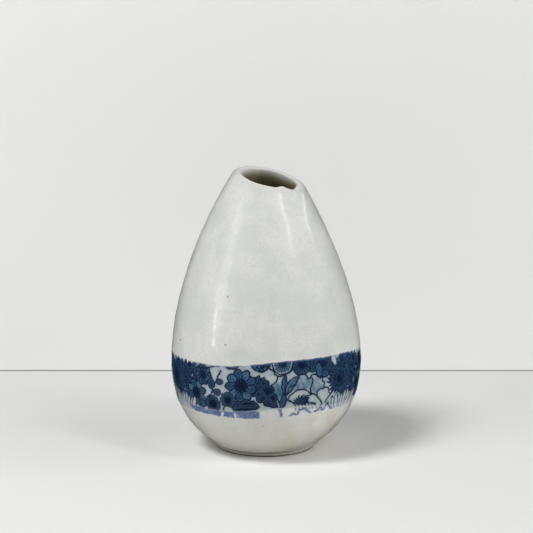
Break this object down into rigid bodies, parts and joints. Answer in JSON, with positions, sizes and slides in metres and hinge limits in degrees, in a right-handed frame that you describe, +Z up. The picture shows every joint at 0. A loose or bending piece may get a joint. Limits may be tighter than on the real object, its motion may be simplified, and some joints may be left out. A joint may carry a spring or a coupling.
{
  "type": "sake bottle",
  "caption": "Hand-thrown pear-shaped ceramic sake bottle with a slanted pinched mouth, low foot ring, pale glaze and a blue printed flower band.",
  "frame": {"origin": "centre of the foot ring's standing face", "axes": "+Z up along the throwing axis, -Y towards the front, +X to the right of the front; the mouth's low side faces front right"},
  "size_m": [0.084, 0.084, 0.1251],
  "materials": {
    "clay": "fired pale stoneware body",
    "bare_foot": "unglazed, turned and wiped",
    "glaze": "satin to glossy, faintly green grey white",
    "printed_band": "cobalt transfer print under clear glaze"
  },
  "bodies": {
    "root": {"clay_body": "clay", "foot_ring": "bare_foot", "outer_glaze": "glaze", "inner_glaze": "glaze", "base_glaze": "glaze", "transfer_strip_1": "printed_band", "transfer_strip_2": "printed_band", "transfer_strip_3": "printed_band"}
  },
  "joints": []
}
